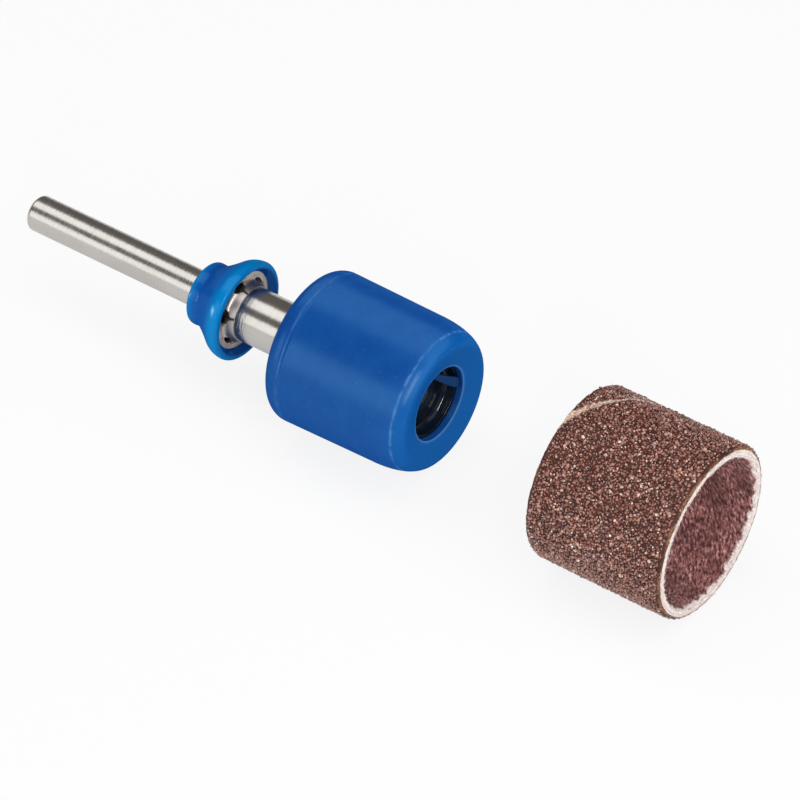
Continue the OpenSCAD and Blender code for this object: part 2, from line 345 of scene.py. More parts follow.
# %% [markdown]
# ## The star washer
# The washer is pressed from 0.3 mm spring steel. Six fingers bend forward and grip the sleeve, with a notch
# between each two. It could be cut and bent from a flat disc with booleans and a bend, but thin sheet comes
# out ragged that way. At every angle the sheet follows the same bent line, from the outer edge to a
# finger's tip, so the surface is that line, and a notch only stops it early.

# %% The washer's bent line, and where the notches cut it
BEND_START, BEND_R, BEND, TIP_L = 3.08, 0.6, math.radians(80), 0.55
FINGERS, FIRST_NOTCH, NOTCH_CENTRE, NOTCH_HALF, NOTCH_DEEP = 6, math.radians(39), 2.5, 0.76, 0.5


def bent_line(share):
    """Middle of the sheet as (x, radius) and its forward normal: straight in, round a bend, then straight
    along the finger. share runs from 0 at the outer edge to 1 at the tip."""
    lengths = [WASHER_R - BEND_START, BEND_R * BEND, TIP_L]
    s = share * sum(lengths)
    turned = np.clip((s - lengths[0]) / BEND_R, 0, BEND)
    straight_in = np.minimum(s, lengths[0])
    finger = np.maximum(s - lengths[0] - lengths[1], 0)
    x = BEND_R * (1 - np.cos(turned)) + finger * np.sin(turned)
    r = WASHER_R - straight_in - BEND_R * np.sin(turned) - finger * np.cos(turned)
    return x, r, np.cos(turned), np.sin(turned)


notch_half = NOTCH_HALF / NOTCH_CENTRE
in_notch = np.linspace(-1, 1, 25) * notch_half * 0.999
on_finger = np.linspace(notch_half * 1.001, 2 * math.pi / FINGERS - notch_half * 1.001, 19)
swing = np.concatenate([in_notch, on_finger])
edge_r = np.where(np.abs(swing) < notch_half,
                  NOTCH_CENTRE + NOTCH_DEEP * np.sqrt(np.maximum(1 - (swing / notch_half) ** 2, 0)), 0)
fine = np.linspace(0, 1, 400)
cut_share = np.where(edge_r > 0, np.interp(-edge_r, -bent_line(fine)[1], fine), 1.0)
cut_share = np.tile(cut_share, FINGERS)
print(f"notch {2 * NOTCH_HALF:.2f} mm wide, cut back to radius {edge_r.max():.2f} mm")

# %% [markdown]
# Past the bend each finger widens until it all but meets its neighbours, which closes the notch towards the
# sleeve and leaves a lens-shaped hole. The sheet thins towards the tip, where it was pressed hardest. Both
# sides are the bent line moved out by half the thickness, joined by a rounded edge.

# %% Make the star washer
SHEET_T, SIDE_ROWS, GROW_FROM, GROW_OVER, MEET = 0.28, 22, 0.6, 0.16, 0.993
edge_turn = np.radians(np.array([-90, -45, 0, 45, 90]))
ladder = np.concatenate([np.linspace(0.02, 0.98, SIDE_ROWS), 0 * edge_turn + 1,
                         np.linspace(0.98, 0.02, SIDE_ROWS), 0 * edge_turn])
side = np.concatenate([np.full(SIDE_ROWS, 1.0), -np.sin(edge_turn),
                       np.full(SIDE_ROWS, -1.0), np.sin(edge_turn)])
share = ladder[:, None] * cut_share[None, :]
x, r, forward, outward = bent_line(share)
half_pitch = math.pi / FINGERS
grown = np.clip((share - GROW_FROM) / GROW_OVER, 0, 1)
grown = 1 + (half_pitch * MEET / (half_pitch - notch_half) - 1) * grown * grown * (3 - 2 * grown)
off_middle = np.tile(swing - half_pitch, FINGERS)[None, :]
off_middle = np.where(np.tile(np.abs(swing) < notch_half, FINGERS)[None, :], off_middle, off_middle * grown)
angles = FIRST_NOTCH + half_pitch + off_middle + np.repeat(np.arange(FINGERS), len(swing)) * 2 * half_pitch
half_t = SHEET_T / 2 * (1 - 0.6 * np.clip((share - 0.65) / 0.35, 0, 1))
washer_x = WASHER_START + SHEET_T / 2 + x + side[:, None] * forward * half_t
washer_r = np.maximum(r + side[:, None] * outward * half_t, SLEEVE_R + 0.01)
washer = skin("star_washer_pressed", turn(washer_x, washer_r, angles))
print(f"washer reaches x {washer_x.max():.2f} mm, radius {washer_r.min():.2f} to {washer_r.max():.2f} mm")

# %% [markdown]
# The washer's steel was rolled, pressed and tempered, never polished. That gives the eye a satin grey, warm
# from tempering, with soft reflections and a fine tooth. A plain rough metal would look like cast metal, so
# both its roughness and its tone vary a little.

# %% Finish: satin spring steel
washer_finish, tree = blank_finish("spring steel, pressed and tempered")
roll = patches(tree, 0.5, detail=4.0, roughness=0.6)
straw = add(tree, "MapRange", [patches(tree, 1.6), 0.35, 0.7])
tone = add(tree, "Mix", {0: straw, 6: paint("C4BDB8"), 7: paint("A89F99")}, **COLOUR)
rough = add(tree, "MapRange", [roll, 0.3, 0.7, 0.3, 0.42])
normal = add(tree, "Bump", {"Height": roll, "Distance": 0.006 * MM})
shader = add(tree, "BsdfPrincipled", {
    "Base Color": tone, "Metallic": 1.0, "Roughness": rough, "Normal": normal})
add(tree, "OutputMaterial", [shader], out=None)
washer.data.materials.append(washer_finish)
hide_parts("star_washer")
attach(washer, "puller")
print("washer finish:", washer_finish.name)

# %% [markdown]
# ## The pull collar
# The collar is a bell moulded in bright blue ABS. Its short neck runs on the shank, a flare widens faster
# and faster towards a rolled rim, and the mouth holds the sleeve's flange and the washer. A subdivided cage
# would round its steps inside as well; an outline lets the outside bow and keeps the seats inside crisp.
# The thin rim and the edge of the neck let some light through. The finish paints that light in as a painted
# glow, a paler blue, and a number kept at each point tells it how much.

# %% Make the pull collar
NECK_GAP, NECK_WALL, RIM_BACK, BEAD_R, NECK_ROUND = 0.07, 1.12, 0.4, 1.8, 0.35
collar_bore = SHANK_R + NECK_GAP
neck_r = collar_bore + NECK_WALL
lip_r = WASHER_R - 0.06
rim_x = COLLAR_END - RIM_BACK
bead = bow((rim_x, COLLAR_R - BEAD_R), (BEAD_R, BEAD_R), -40, 0, 14)
u = np.linspace(0, 1, 18, endpoint=False)[:, None]
flare_start = np.array([COLLAR_START + 0.95, neck_r - 0.08])
flare = np.hstack([flare_start[0] + (bead[0, 0] - flare_start[0]) * u,
                   flare_start[1] + (bead[0, 1] - flare_start[1]) * u**1.2, 0 * u])
rim = bow((rim_x, COLLAR_R - 0.42), (RIM_BACK, 0.42), 0, 90, 10)
washer_back, seat_r = WASHER_START - PART_GAP, WASHER_R + PART_GAP
collar_outline = eased(np.vstack([
    [(COLLAR_START, collar_bore, 0.08)],
    bow((COLLAR_START + NECK_ROUND, neck_r - NECK_ROUND), (NECK_ROUND, NECK_ROUND), -90, 0, 8),
    [(COLLAR_START + 0.62, neck_r, 0.12)],
    flare, bead[:-1], rim,
    [(COLLAR_END - 0.03, COLLAR_R - 0.55, 0.06), (COLLAR_END - 0.36, lip_r + 0.12, 0.06),
     (WASHER_START + 0.32, lip_r, 0.03), (WASHER_START + 0.32, seat_r, 0.03),
     (washer_back, seat_r, 0.03), (washer_back, FLANGE_R + PART_GAP, 0.03),
     (SLEEVE_START - PART_GAP, FLANGE_R + PART_GAP, 0.03), (SLEEVE_START - PART_GAP, collar_bore, 0.03)]]))
collar_x, collar_r = collar_outline.T
# painted glow: how much paler blue each outline point gets, most at the rim, 0.8 at the neck's rear edge
thin = np.exp(-((collar_x - rim_x) / 0.95) ** 2)
thin = np.maximum(thin, 0.8 * np.exp(-((collar_x - COLLAR_START) / 0.6) ** 2))
inside_mouth = (collar_x > COLLAR_END - 1) & (collar_r < COLLAR_R - 0.45)
thin = np.where(inside_mouth, 0.05, thin)
collar = lathe("pull_collar_moulded", collar_outline, steps=192, attributes={"thin": thin})

# %% [markdown]
# ABS from a polished mould is glossy and slightly cloudy where the plastic flowed. That gives the eye a
# deep blue neck, a paler, greener blue at the rim where light comes through, and small sharp glints. The
# glow could come from subsurface scattering; at this size that is slow and noisy, so it is a painted glow:
# the wall's thinness chooses a paler colour. The gloss is the even kind, because a full one would wash the
# far side pale.

# %% Finish: glossy moulded ABS
collar_finish, tree = blank_finish("ABS, moulded glossy")
flow = add(tree, "MapRange", [patches(tree, 2.2, 3.5), 0.35, 0.65])
mould_skin = patches(tree, 0.35, detail=3.0)
wall_thin = add(tree, "Attribute", out="Fac", attribute_name="thin")
thick_tone = add(tree, "Mix", {0: flow, 6: paint("084596"), 7: paint("0B4B9D")}, **COLOUR)
# painted glow: the thin rim and the neck's edge are painted a paler, greener blue
tone = add(tree, "Mix", {0: wall_thin, 6: thick_tone, 7: paint("0077BC")}, **COLOUR)
rough = add(tree, "MapRange", [mould_skin, 0.3, 0.7, 0.13, 0.17])
normal = add(tree, "Bump", {"Height": mould_skin, "Distance": 0.0015 * MM})
shader = add(tree, "BsdfPrincipled", {
    "Base Color": tone, "Roughness": rough, "IOR": 1.53, "Specular IOR Level": 0.0, "Normal": normal})
shader = even_gloss(tree, shader, 0.038, (0.28, 0.72, 1, 1), rough, normal)
add(tree, "OutputMaterial", [shader], out=None)
collar.data.materials.append(collar_finish)
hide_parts("pull_collar")
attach(collar, "puller")
print("collar finish:", collar_finish.name)

# %% [markdown]
# ## The drum
# The drum is cast in a soft blue rubber over its two hubs. Its rear edge is round, its front has a long
# shoulder and a slightly dished cap with a hole in it, and inside it wraps the hubs' anchor flanges. Cutting
# that from a solid with booleans would leave ragged seams round the hubs, so one outline runs outside and
# inside.

# %% Outline of the drum
REAR_EDGE, SHOULDER, DROP, DISH = 1.25, 3.7, 1.25, 0.5
FRONT_R, MOUTH_R, BOND = 6.52, 3.27, 0.03
ANCHOR_COVER, ANCHOR_T = 1.85, 1.2
mouth_x = DRUM_END - DISH
cup_wall_r = MOUTH_R + 0.48
anchor_x = PIN_END - ANCHOR_T
rear_hub_x = DRUM_START + 0.4
rear_boss_r, rear_spigot_r, front_spigot_r = SLEEVE_R + 0.87, SLEEVE_R + 0.72, GUIDE_R + 1.25
rear_anchor = (rear_hub_x + 0.85, rear_hub_x + 2.05)
front_anchor_r, rear_anchor_r = FRONT_R - ANCHOR_COVER, DRUM_R - ANCHOR_COVER
hollow_x = HUB_START - 0.3

rear_round = bow((DRUM_START + REAR_EDGE, DRUM_R - REAR_EDGE), (REAR_EDGE, REAR_EDGE), -90, 0, 26)
side_u = np.linspace(0, 1, 60)[1:-1, None]
side_line = np.hstack([rear_round[-1, 0] + side_u * (DRUM_END - SHOULDER - rear_round[-1, 0]),
                       DRUM_R + side_u * (FRONT_R - DRUM_R), 0 * side_u])
front_round = bow((DRUM_END - SHOULDER, FRONT_R - DROP), (SHOULDER, DROP), 0, 90, 72)
cap_u = np.linspace(0, 1, 14)[1:, None]
front_cap = np.hstack([DRUM_END - DISH * cap_u**1.15,
                       FRONT_R - DROP + (MOUTH_R + 0.1 - FRONT_R + DROP) * cap_u, 0 * cap_u])
drum_outline = eased(np.vstack([
    [(DRUM_START, rear_boss_r + BOND, 0.1)],
    rear_round, side_line, front_round, front_cap,
    [(mouth_x - 0.02, MOUTH_R, 0.07), (CUP_RIM + BOND, MOUTH_R, 0.04),
     (CUP_RIM + BOND, cup_wall_r + BOND, 0.03),
     (PIN_END + BOND, cup_wall_r + BOND, 0.03), (PIN_END + BOND, front_anchor_r + BOND, 0.03),
     (anchor_x - BOND, front_anchor_r + BOND, 0.03), (anchor_x - BOND, front_spigot_r + BOND, 0.03),
     (hollow_x, front_spigot_r + BOND, 0.03), (hollow_x, rear_spigot_r + BOND, 0.03),
     (rear_anchor[1] + BOND, rear_spigot_r + BOND, 0.03), (rear_anchor[1] + BOND, rear_anchor_r + BOND, 0.03),
     (rear_anchor[0] - BOND, rear_anchor_r + BOND, 0.03),
     (rear_anchor[0] - BOND, rear_boss_r + BOND, 0.03)]]))
print(f"drum outline has {len(drum_outline)} points")

# %% [markdown]
# The mould closed along two rings, near the rear edge and on the front shoulder, and each left a hair-thin
# line of flash. Its pale colour is partly wear and partly a painted highlight; the rim of the hole gets a
# painted highlight of the same pale blue. They could be colour alone, but a real ridge catches light from
# every side. Numbers kept at each point tell the finish how near a line is, and which part is the cap, whose
# brighter blue is painted light.

# %% Add the mould lines and make the drum
def near(outline, x, r, width):
    """1 on the ring at (x, r) of an outline, falling to 0 with a bell curve of the given width."""
    return np.exp(-((outline[:, 0] - x) ** 2 + (outline[:, 1] - r) ** 2) / width**2)


def thicken(outline, where, reach=0.22, extra=9):
    """Adds outline points near a place, so that a narrow ridge there has rows of its own."""
    distance = np.hypot(outline[:, 0] - where[0], outline[:, 1] - where[1])
    k = int(distance.argmin())
    way = (outline[k + 1] - outline[k - 1]) / np.hypot(*(outline[k + 1] - outline[k - 1]))
    offsets = (outline - outline[k]) @ way
    close = (distance < reach) & (np.abs(offsets) < reach)
    s = np.linspace(-reach, reach, extra)
    rows = np.column_stack([np.interp(s, offsets[close], outline[close][:, axis]) for axis in (0, 1)])
    first = int(np.flatnonzero(close)[0])
    return np.vstack([outline[:first], rows, outline[first:][~close[first:]]])


RIDGE_HIGH = 0.007
front_line_x = DRUM_END - 1.0
along_shoulder = (front_line_x - DRUM_END + SHOULDER) / SHOULDER
front_line = (front_line_x, FRONT_R - DROP + DROP * math.sqrt(1 - along_shoulder**2))
rear_line = (DRUM_START + 1.65, DRUM_R)
drum_outline = thicken(thicken(drum_outline, front_line), rear_line)
ridge = 0.6 * near(drum_outline, *rear_line, 0.07) + near(drum_outline, *front_line, 0.1)
# painted highlight: where the hole's rim is painted pale
rim_line = near(drum_outline, mouth_x, MOUTH_R + 0.04, 0.075)
drum_outline[:, 1] += RIDGE_HIGH * ridge
drum_x, drum_r = drum_outline.T
# painted light: share of the cap that is painted a brighter blue, as if lit more
cap_painted_light = np.clip((drum_x - front_line_x + 0.5) / 0.9, 0, 1) * (drum_r > MOUTH_R)
drum = lathe("drum_cast_rubber", drum_outline, steps=224,
             attributes={"flash": ridge, "rim": rim_line, "web": 0 * ridge, "cap": cap_painted_light})

# %% [markdown]
# ## The web across the hole
# A strip of rubber crosses the hole where the mould's core was split. It is a slim bar with rounded edges
# that widens towards one end. A bevelled curve would give it an even width, so it is worked out like the
# rest: a rounded section carried along a straight path, with closed ends inside the wall of the hole.

# %% Make the web across the hole
WEB_T, WEB_ROOT, WEB_OFF, WEB_NARROW, WEB_WIDE = 0.35, 0.12, 1.6, 0.42, 1.05
path = np.linspace(-1, 1, 33)[:, None]
section = np.linspace(0, 2 * math.pi, 24, endpoint=False)[None, :]
half_width = (WEB_NARROW + (WEB_WIDE - WEB_NARROW) * (path + 1) / 2) / 2
inner_edge = WEB_OFF + 0.1 * path**2
squared = np.abs(np.sin(section)) ** 0.5 * np.sign(np.sin(section))
level = np.abs(np.cos(section)) ** 0.35 * np.sign(np.cos(section))
reach = np.sqrt((MOUTH_R + WEB_ROOT) ** 2 - (inner_edge + half_width) ** 2)
chord = path * reach
offset = inner_edge + half_width + half_width * level
web_x = CUP_RIM + BOND + WEB_T / 2 + WEB_T / 2 * squared
diagonal = math.sqrt(0.5)
web_grid = np.stack(np.broadcast_arrays(
    web_x, (chord + offset) * diagonal, (-chord + offset) * diagonal), -1)
ends = [np.repeat(web_grid[k : k + 1].mean(1, keepdims=True), section.size, 1) for k in (0, len(path) - 1)]
web_grid = np.concatenate([ends[0], web_grid, ends[1]])
nowhere = np.zeros(web_grid.shape[:2])
web = skin("drum_web", web_grid, round_along=False, attributes={
    "flash": nowhere, "rim": nowhere, "web": nowhere + 1, "cap": nowhere})

# %% [markdown]
# Cast rubber comes out of its mould satin, with very fine pores. That gives the eye a deep, even blue with
# broad soft bands of light, a little dust, and pale broken mould lines, partly wear and partly painted
# highlight. The cap is painted a brighter blue as painted light, the rim of the hole gets a painted
# highlight, and the web, which sits in the shade of the hole over the dark cup, is painted nearly black as
# painted shade. Roughness alone would grey the far edges, so the gloss is even here too, and tinted, because
# some of the light comes back from just under the skin. The real pores are finer than these 0.16 mm, which is
# as coarse as they need to show.

# %% Finish: cast rubber
rubber_finish, tree = blank_finish("rubber, cast satin")
mottle = add(tree, "MapRange", [patches(tree, 1.7, 1.2, detail=3.0), 0.35, 0.68])
pores = patches(tree, 0.16, detail=3.0, roughness=0.6)
turned_marks = patches(tree, 6.0, 0.22)
broken = add(tree, "MapRange", [patches(tree, 0.8, detail=3.0), 0.4, 0.62])
flash, rim_near, web_painted_shade, cap_light_share = (
    add(tree, "Attribute", out="Fac", attribute_name=key) for key in ("flash", "rim", "web", "cap"))
tone = add(tree, "Mix", {0: mottle, 6: paint("0A4391"), 7: paint("0E4996")}, **COLOUR)
# painted light: the cap is painted a brighter blue
tone = add(tree, "Mix", {0: cap_light_share, 6: tone, 7: paint("02509F")}, **COLOUR)
dusty = add(tree, "MapRange", [patches(tree, 0.24, detail=1.0), 0.69, 0.76, 0.0, 0.1])
tone = add(tree, "Mix", {0: dusty, 6: tone, 7: paint("6F97C8")}, **COLOUR)
# pale flash lines, partly wear and partly painted highlight, and a painted highlight round the hole's rim
flash_breaks = add(tree, "MapRange", [broken, 0.0, 1.0, 0.06, 0.5])
flash_wear_and_highlight = add(tree, "Math", [flash, flash_breaks], operation="MULTIPLY")
rim_painted_highlight = add(tree, "Math", [rim_near, 0.42], operation="MULTIPLY")
pale_wear_and_highlight = add(tree, "Math", [flash_wear_and_highlight, rim_painted_highlight], operation="MAXIMUM")
tone = add(tree, "Mix", {0: pale_wear_and_highlight, 6: tone, 7: paint("5E98D4")}, **COLOUR)
# painted shade: the web is painted nearly black for the shade inside the hole
tone = add(tree, "Mix", {0: web_painted_shade, 6: tone, 7: paint("08255C")}, **COLOUR)
shallow_marks = add(tree, "Math", [turned_marks, 0.5], operation="MULTIPLY")
height = add(tree, "Math", [pores, shallow_marks], operation="ADD")
rough = add(tree, "MapRange", [pores, 0.3, 0.7, 0.27, 0.33])
normal = add(tree, "Bump", {"Height": height, "Distance": 0.003 * MM})
shader = add(tree, "BsdfPrincipled", {
    "Base Color": tone, "Roughness": rough, "IOR": 1.52, "Specular IOR Level": 0.0, "Normal": normal})
shader = even_gloss(tree, shader, 0.043, (0.27, 0.72, 1, 1), rough, normal)
add(tree, "OutputMaterial", [shader], out=None)
for piece in (drum, web):
    piece.data.materials.append(rubber_finish)
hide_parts("drum")
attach(web, "mandrel")
print("drum finish:", rubber_finish.name)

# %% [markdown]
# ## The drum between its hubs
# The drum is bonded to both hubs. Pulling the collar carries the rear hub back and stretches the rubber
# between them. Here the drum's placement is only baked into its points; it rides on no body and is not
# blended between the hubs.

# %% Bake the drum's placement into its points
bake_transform(drum)
print(f"drum stretches between x {rear_anchor[1]:.2f} and {anchor_x:.2f} mm")

# %% [markdown]
# ## The two hubs
# Both hubs are black nylon, moulded on the steel. The front one shows inside the drum's hole as a shallow
# glossy cup with a filleted floor, a slight moulding witness ring and the dimple left by the gate. A bump
# could fake the ring and dimple, but the floor is a plain outline, so they are made for real. The rear hub
# hardly shows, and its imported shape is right, so it stays and gets the same finish.

# %% Make the front hub
CUP_R, FLOOR_X, FILLET, CLEAR = MOUTH_R - 0.22, PIN_END + 0.7, 0.5, 0.02
DIMPLE, DIMPLE_R, RING_HIGH, RING_R = 0.05, 0.42, 0.012, 1.45
floor_r = np.linspace(CUP_R - FILLET - 0.04, 0.02, 26)
dimple = DIMPLE * np.exp(-((floor_r / DIMPLE_R) ** 4))
witness = RING_HIGH * np.exp(-(((floor_r - RING_R) / 0.07) ** 2))
cup_floor = np.column_stack([FLOOR_X - dimple + witness, floor_r, 0 * floor_r])
hub_bore, lock_r = GUIDE_R + CLEAR, GUIDE_R + CLEAR - GROOVE_DEEP
hub_outline = eased(np.vstack([
    [(PIN_END + CLEAR, 0, 0), (PIN_END + CLEAR, hub_bore, 0.02),
     (GROOVE_FRONT - CLEAR, hub_bore, 0.02), (GROOVE_FRONT - CLEAR, lock_r, 0.02),
     (GROOVE_BACK + CLEAR, lock_r, 0.02), (GROOVE_BACK + CLEAR, hub_bore, 0.02),
     (HUB_START, hub_bore, 0.03), (HUB_START, front_spigot_r, 0.06),
     (anchor_x, front_spigot_r, 0.05), (anchor_x, front_anchor_r, 0.1), (PIN_END, front_anchor_r, 0.1),
     (PIN_END, cup_wall_r, 0.05), (CUP_RIM, cup_wall_r, 0.05), (CUP_RIM, CUP_R, 0.06)],
    bow((FLOOR_X + FILLET, CUP_R - FILLET), (-FILLET, FILLET), 0, 90, 14),
    cup_floor, [(FLOOR_X - DIMPLE, 0, 0)]]), closed=False)
hub = lathe("front_hub_cup", hub_outline, steps=160, round_along=False)

# %% [markdown]
# Nylon from a polished mould is glossy where it is untouched, and this cup is well inside the drum, so it
# has only small nicks. That gives the eye a near-black, slightly blue floor with narrow bright arcs. Pure
# black with a clean gloss would look like a hole, so the tone swirls a little and the nicks break the arcs.

# %% Finish: moulded nylon
nylon_finish, tree = blank_finish("nylon, moulded black")
swirl = add(tree, "MapRange", [patches(tree, 0.9, detail=3.0), 0.4, 0.7])
nicks = patches(tree, 0.22, detail=3.0, roughness=0.6)
tone = add(tree, "Mix", {0: swirl, 6: paint("050B14"), 7: paint("0C0F16")}, **COLOUR)
rough = add(tree, "MapRange", [nicks, 0.3, 0.7, 0.08, 0.13])
normal = add(tree, "Bump", {"Height": nicks, "Distance": 0.004 * MM})
shader = add(tree, "BsdfPrincipled", {
    "Base Color": tone, "Roughness": rough, "IOR": 1.53, "Specular IOR Level": 0.13, "Normal": normal})
add(tree, "OutputMaterial", [shader], out=None)
hub.data.materials.append(nylon_finish)
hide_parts("front_hub")
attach(hub, "mandrel")
nodes["rear_hub"].data.materials.clear()
nodes["rear_hub"].data.materials.append(nylon_finish)
print("hub finish:", nylon_finish.name)

# %% [markdown]
# ## How the band is wound
# The band is a strip of abrasive cloth wound once round in a steep helix over a cloth liner, with its two
# edges butted together. A UV map could lay a pattern along the strip, but it would need its own seam.
# Unrolled, the helix is just a straight slanting line, so a point's phase counts turns from that line, and
# its fraction says how far across the strip the point lies. Threads, streaks and the seam all follow it.

# %% Coordinates of the wound strip
PITCH, SEAM_ANGLE = 23.8, math.radians(108.5)
LEAN = math.atan(PITCH / (2 * math.pi * BAND_R))
STRIP_W = PITCH * math.cos(LEAN)
theta = around(400)[None, :]


def strip_place(x, angle, turn_off=0.0):
    """Distance across the strip and along it, in millimetres, and the distance from the nearest seam."""
    phase = (x - BAND_START) / PITCH + (angle - SEAM_ANGLE) / (2 * math.pi) + turn_off
    whole = np.floor(phase)
    unwound = BAND_R * (angle - 2 * math.pi * whole)
    along = unwound * math.cos(LEAN) - x * math.sin(LEAN)
    return (phase - whole) * STRIP_W, along, (phase - np.round(phase)) * STRIP_W


def waves(u, v, seed, cells_round=None):
    """Smooth random heights from -1 to 1: random numbers on a unit lattice, eased with 3f^2 - 2f^3 between
    neighbours. With cells_round the lattice joins up after so many cells in u."""
    table = np.random.default_rng(seed).uniform(-1, 1, (257, 257))
    iu, iv = np.floor(u).astype(int), np.floor(v).astype(int)
    fu, fv = u - iu, v - iv
    fu, fv = fu * fu * (3 - 2 * fu), fv * fv * (3 - 2 * fv)
    a, b = (iu % cells_round, (iu + 1) % cells_round) if cells_round else (iu % 256, (iu + 1) % 256)
    c, d = iv % 256, (iv + 1) % 256
    return ((table[a, c] * (1 - fu) + table[b, c] * fu) * (1 - fv)
            + (table[a, d] * (1 - fu) + table[b, d] * fu) * fv)


def ring_waves(cells, v, seed):
    """Waves with so many cells round the band, that join up there."""
    return waves(theta / (2 * math.pi) * cells, v, seed, cells)


print(f"seam leans {math.degrees(LEAN):.1f} degrees, strip {STRIP_W:.1f} mm wide")

# %% [markdown]
# ## One ply of the band
# Both plies are tubes with a shown side, two cut ends and a hidden side. A Solidify modifier could give
# them their thickness, but it would copy every lump of the shown side to the hidden one. So each ply is
# one closed outline, and masks say which of its points lie on the shown side and on the cuts.

# %% Outline of a ply, and places near its ends
BORE_R, CUT_ROWS, HIDDEN_ROWS = 6.35, 9, 12
BAND_MIDDLE = (BAND_START + BAND_END) / 2


def ply(rows, inset, shown_r, cut_r, hidden_r):
    """Grids of x and radius for a ply, and its masks. Along the shown side x follows the share
    0.55 u + 0.45 (0.5 - 0.5 cos pi u), which puts the rows closer together at both ends."""
    u = np.linspace(0, 1, rows)
    share = 0.55 * u + 0.45 * (0.5 - 0.5 * np.cos(math.pi * u))
    outline = np.vstack([
        np.column_stack([BAND_START + inset + (BAND_END - BAND_START - 2 * inset) * share,
                         np.full(rows, shown_r)]),
        np.column_stack([np.full(CUT_ROWS, BAND_END - inset), cut_r]),
        np.column_stack([np.linspace(BAND_END - 0.2, BAND_START + 0.2, HIDDEN_ROWS),
                         np.full(HIDDEN_ROWS, hidden_r)]),
        np.column_stack([np.full(CUT_ROWS, BAND_START + inset), cut_r[::-1]])])
    kind = np.repeat([0, 1, 2, 1], [rows, CUT_ROWS, HIDDEN_ROWS, CUT_ROWS])[:, None]
    return outline[:, :1] + 0 * theta, outline[:, 1:] + 0 * theta, 1.0 * (kind == 0), 1.0 * (kind == 1)


def from_end(x):
    """Distance from the nearer end of the band, in millimetres."""
    return np.clip(np.minimum(x - BAND_START, BAND_END - x), 0, None)


print(f"band {BAND_END - BAND_START:.2f} mm long, plies {LINER_R - BORE_R:.2f} "
      f"and {BAND_R - LINER_R:.2f} mm thick")

# %% [markdown]
# ## The abrasive cloth
# Its backing is a cotton cloth soaked in a dark maroon resin. The resin lies in lumps between the grains,
# is thin and orange-brown at the rounded cut edges, and leaves pale threads bare along the seam, where one
# edge of the strip sits a little proud. The seam is widest at the rear edge, where the butted ends have
# opened. Displacement in the material could raise the lumps, but then the mesh itself would stay smooth,
# so the heights go into a dense grid.

# %% Make the backing
BACK_R, PLY_IN, ROUNDING = BAND_R - 0.2, LINER_R + 0.02, 0.34
LUMP_HIGH, STEP_HIGH, TRENCH_DEEP, RAGGED = 0.05, 0.06, 0.12, 0.06
x, r, on_outside, on_cut = ply(
    108, 0.03, BACK_R, np.linspace(BACK_R - ROUNDING + 0.04, PLY_IN, CUT_ROWS), PLY_IN)
across, along, from_seam = strip_place(x, theta)
lumps = ring_waves(150, x / 0.3, 11)
step = STEP_HIGH * np.exp(-np.clip(from_seam, 0, None) / 0.5) * (from_seam > 0)
trench = TRENCH_DEEP * np.exp(-((from_seam / 0.15) ** 2))
end_gap = from_end(x)
drop = ROUNDING - np.sqrt(ROUNDING**2 - np.clip(ROUNDING - end_gap, 0, None) ** 2)
r = r + on_outside * (LUMP_HIGH * lumps + step - trench - drop)
ragged = ring_waves(220, r / 0.16, 12) * RAGGED
x = x + on_cut * np.sign(x - BAND_MIDDLE) * (ragged - RAGGED)
worn_patches = np.clip(0.75 + 0.5 * ring_waves(40, 0 * x, 14), 0, 1)
worn_edge = on_outside * np.exp(-((end_gap / 0.26) ** 2)) * worn_patches
seam_width = 0.22 + 0.3 * np.exp(-(x - BAND_START) / 1.3)
backing = skin("abrasive_cloth_backing", turn(x, r, theta), attributes={
    "strip": np.stack([across, along], -1), "edge": worn_edge, "cut": on_cut + 0 * x,
    "seam": on_outside * np.exp(-(((from_seam - 0.05) / seam_width) ** 2))})

# %% [markdown]
# ## The grit
# The abrasive is brown aluminium oxide: sharp, blocky, glassy crystals. Grit of about 60 mesh is a quarter
# of a millimetre across, large enough to see one by one. A bump pattern would leave the band's outline
# smooth, and instances from Geometry Nodes would have to be made real for the export, so each grain is its
# own small solid in one mesh: one of forty broken twenty-sided shapes, stretched and turned at random.

# %% Broken twenty-sided shapes
GOLDEN = (1 + math.sqrt(5)) / 2
corners = np.array([(s, t * GOLDEN, 0) for s in (-1, 1) for t in (-1, 1)])
corners = np.vstack([corners, corners[:, [2, 0, 1]], corners[:, [1, 2, 0]]]) / math.hypot(1, GOLDEN)
gaps = np.linalg.norm(corners[:, None] - corners[None], axis=-1)
edge = gaps[gaps > 0.01].min() * 1.01
trios = np.array([(a, b, c) for a in range(12) for b in range(a + 1, 12) for c in range(b + 1, 12)
                  if max(gaps[a, b], gaps[b, c], gaps[a, c]) < edge])
inward = np.einsum("ij,ij->i", corners[trios[:, 0]], np.cross(corners[trios[:, 1]], corners[trios[:, 2]])) < 0
trios[inward] = trios[inward][:, ::-1]


def grains(centres, sizes, seed, shapes=40):
    """Vertices of one broken shape for each centre: corners pushed in or out, stretched, turned by a random
    unit quaternion, scaled and moved."""
    rng = np.random.default_rng(seed)
    count = len(centres)
    broken = corners * rng.uniform(0.62, 1.12, (shapes, 12, 1))
    shape = broken[rng.integers(0, shapes, count)] * rng.uniform(0.7, 1.25, (count, 1, 3))
    q = rng.normal(size=(count, 4))
    w, i, j, k = (q / np.linalg.norm(q, axis=1, keepdims=True)).T
    turned = np.array([
        [1 - 2 * (j * j + k * k), 2 * (i * j - k * w), 2 * (i * k + j * w)],
        [2 * (i * j + k * w), 1 - 2 * (i * i + k * k), 2 * (j * k - i * w)],
        [2 * (i * k - j * w), 2 * (j * k + i * w), 1 - 2 * (i * i + j * j)]]).transpose(2, 0, 1)
    return np.einsum("nij,nvj->nvi", turned, shape) * sizes[:, None, None] + centres[:, None, :]


print(f"{len(trios)} faces to a grain")

# %% [markdown]
# The grains are sown on a jittered lattice on the unrolled band, which covers it evenly without a visible
# grid; purely random places would leave bald spots. A bare strip stays along the seam, and the rounded
# ends carry fewer and smaller grains, because a knife has been along them.

